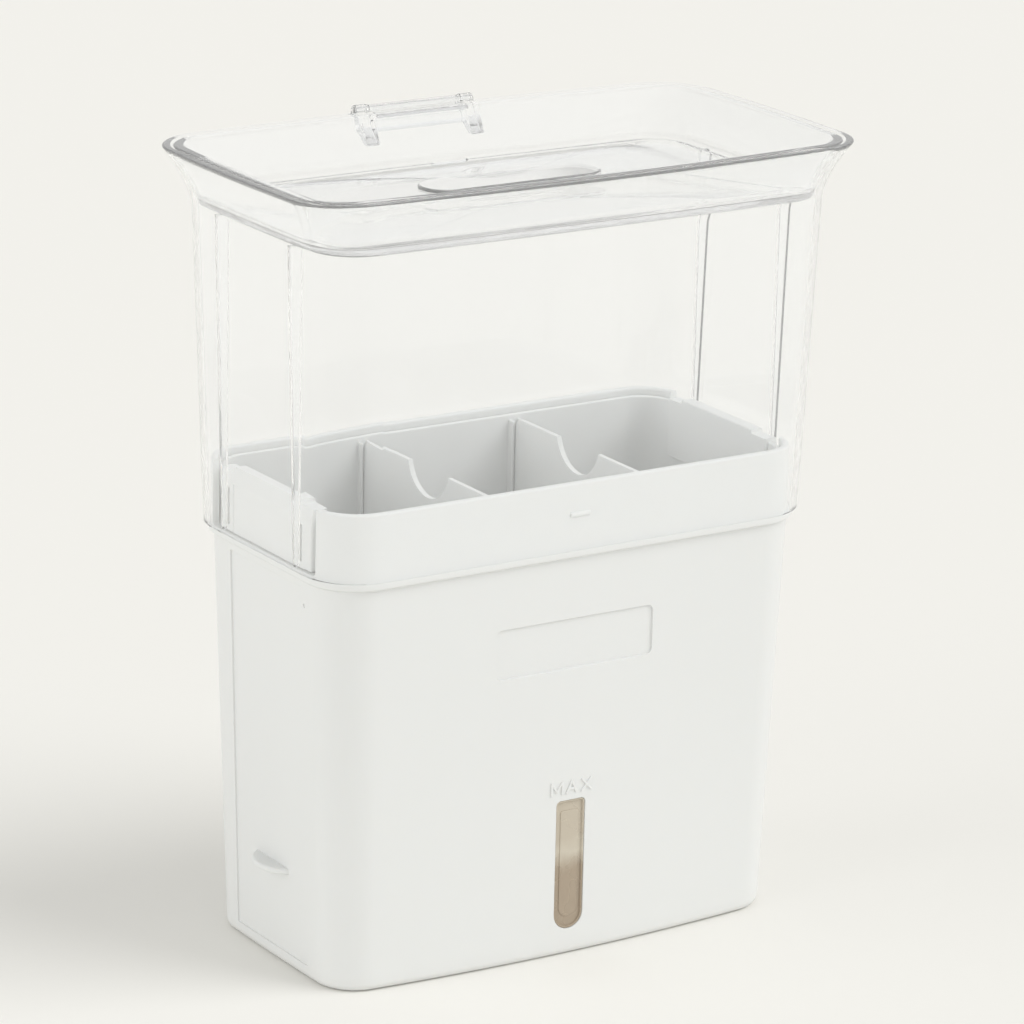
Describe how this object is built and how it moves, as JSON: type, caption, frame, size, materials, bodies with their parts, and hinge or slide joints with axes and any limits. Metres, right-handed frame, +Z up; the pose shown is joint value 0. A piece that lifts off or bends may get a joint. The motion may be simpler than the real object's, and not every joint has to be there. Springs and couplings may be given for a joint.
{
  "type": "herb keeper",
  "caption": "White water reservoir with a lift-out divided basket under a clear flared hood with a clear hinged dish lid, for keeping cut herbs upright in a fridge.",
  "frame": {"origin": "centre of the reservoir's flat base", "axes": "+Z up from the shelf, front with the water window towards -Y, width along X"},
  "size_m": [0.2148, 0.1252, 0.272],
  "materials": {
    "white_plastic": "satin",
    "clear_plastic": "polished, see-through",
    "smoke_plastic": "polished, tinted",
    "seal_rubber": "matte"
  },
  "bodies": {
    "base": {"reservoir": "white_plastic", "water_window": "smoke_plastic", "window_seal": "seal_rubber"},
    "tray": {"basket": "white_plastic"},
    "left_divider": {"divider_left": "white_plastic"},
    "right_divider": {"divider_right": "white_plastic"},
    "cover": {"hood": "clear_plastic", "hinge_pin": "clear_plastic"},
    "lid": {"lid": "clear_plastic"}
  },
  "joints": [
    {"name": "basket_lift", "type": "slide", "parent": "base", "child": "tray", "axis": [0, 0, 1], "range_m": [0, 0.165]},
    {"name": "hood_lift", "type": "slide", "parent": "tray", "child": "cover", "axis": [0, 0, 1], "range_m": [0, 0.35]},
    {"name": "lid_hinge", "type": "hinge", "parent": "cover", "child": "lid", "pos_m": [0, 0.0622, 0.2698], "axis": [-1, 0, 0], "range_deg": [0, 105]},
    {"name": "left_divider_lift", "type": "slide", "parent": "tray", "child": "left_divider", "axis": [0, 0, 1], "range_m": [0, 0.158]},
    {"name": "right_divider_lift", "type": "slide", "parent": "tray", "child": "right_divider", "axis": [0, 0, 1], "range_m": [0, 0.158]}
  ],
  "couplings": [
    {"joint": "left_divider_lift", "follows": "hood_lift", "ratio": 0.45},
    {"joint": "right_divider_lift", "follows": "hood_lift", "ratio": 0.45}
  ]
}
